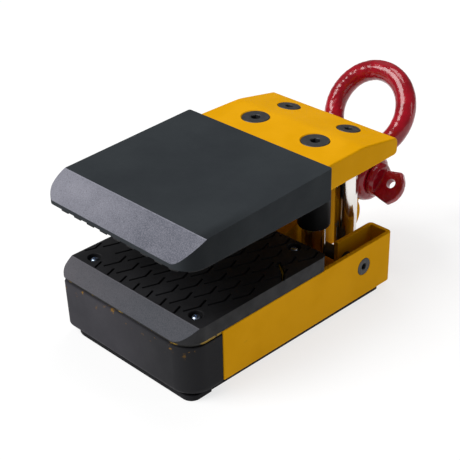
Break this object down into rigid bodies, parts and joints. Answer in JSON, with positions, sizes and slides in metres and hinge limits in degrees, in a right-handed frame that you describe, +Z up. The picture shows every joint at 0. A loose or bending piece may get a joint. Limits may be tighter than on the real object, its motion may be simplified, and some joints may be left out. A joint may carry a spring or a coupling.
{
  "type": "plate lifting clamp",
  "caption": "Parallel-jaw slab clamp with rubber-faced jaws, a head sliding on guide rods, a two-link closing linkage and a bow shackle.",
  "frame": {"origin": "on the floor the clamp lies on, under the middle of the jaws' rear end", "axes": "+Y from the open mouth of the jaws to the shackle end, +Z up from the lower jaw's sole to the head, +X across the jaws"},
  "size_m": [0.1614, 0.3297, 0.1636],
  "materials": {
    "yellow_paint": "satin yellow powder coat",
    "black_rubber": "matt black moulded rubber",
    "chromed_rod": "polished hard chrome",
    "black_steel": "black oxide",
    "bright_steel": "zinc plated",
    "red_paint": "thick glossy red paint"
  },
  "bodies": {
    "lower_body": {"top_plate": "yellow_paint", "floor_plate": "yellow_paint", "nose_bumper": "black_rubber", "sole_sheet": "black_rubber", "lower_tread_pad": "black_rubber", "cross_shaft": "black_steel", "side_frame_left": "yellow_paint", "rod_base_left": "yellow_paint", "front_left_rod": "chromed_rod", "front_left_rod_bolt": "black_steel", "rear_left_rod": "chromed_rod", "rear_left_rod_bolt": "black_steel", "side_bolt_left": "black_steel", "opening_spring_left": "bright_steel", "side_frame_right": "yellow_paint", "rod_base_right": "yellow_paint", "front_right_rod": "chromed_rod", "front_right_rod_bolt": "black_steel", "rear_right_rod": "chromed_rod", "rear_right_rod_bolt": "black_steel", "side_bolt_right": "black_steel", "opening_spring_right": "bright_steel", "lower_pad_screw_front_left": "bright_steel", "lower_pad_screw_front_right": "bright_steel", "lower_pad_screw_rear_left": "bright_steel", "lower_pad_screw_rear_right": "bright_steel"},
    "upper_jaw": {"head_block": "yellow_paint", "upper_cover": "black_rubber", "upper_tread_pad": "black_rubber", "head_pin": "bright_steel", "guide_sleeve_left": "black_rubber", "guide_sleeve_right": "black_rubber", "upper_pad_screw_front_left": "bright_steel", "upper_pad_screw_front_right": "bright_steel", "upper_pad_screw_rear_left": "bright_steel", "upper_pad_screw_rear_right": "bright_steel"},
    "lower_link": {"lower_link": "yellow_paint"},
    "upper_link": {"upper_link": "yellow_paint"},
    "shackle": {"shackle_bow": "red_paint", "shackle_pin": "red_paint"}
  },
  "joints": [
    {"name": "jaw_slide", "type": "slide", "parent": "lower_body", "child": "upper_jaw", "axis": [0, 0, 1], "range_m": [-0.0265, 0], "stiffness_N_per_m": 1800, "springref_m": 0.05},
    {"name": "lower_link_hinge", "type": "hinge", "parent": "lower_body", "child": "lower_link", "pos_m": [0, 0.0437, 0.0347], "axis": [1, 0, 0], "range_deg": [-12.65, 0.05]},
    {"name": "upper_link_hinge", "type": "hinge", "parent": "upper_jaw", "child": "upper_link", "pos_m": [0, 0.0437, 0.134], "axis": [1, 0, 0], "range_deg": [-0.05, 9.44]},
    {"name": "shackle_swing", "type": "hinge", "parent": "lower_link", "child": "shackle", "pos_m": [0, 0.1085, 0.079], "axis": [1, 0, 0], "range_deg": [-81, 38]}
  ],
  "couplings": [
    {"joint": "lower_link_hinge", "follows": "jaw_slide", "rad_per_m": 8.2959},
    {"joint": "upper_link_hinge", "follows": "jaw_slide", "rad_per_m": -6.1809}
  ]
}
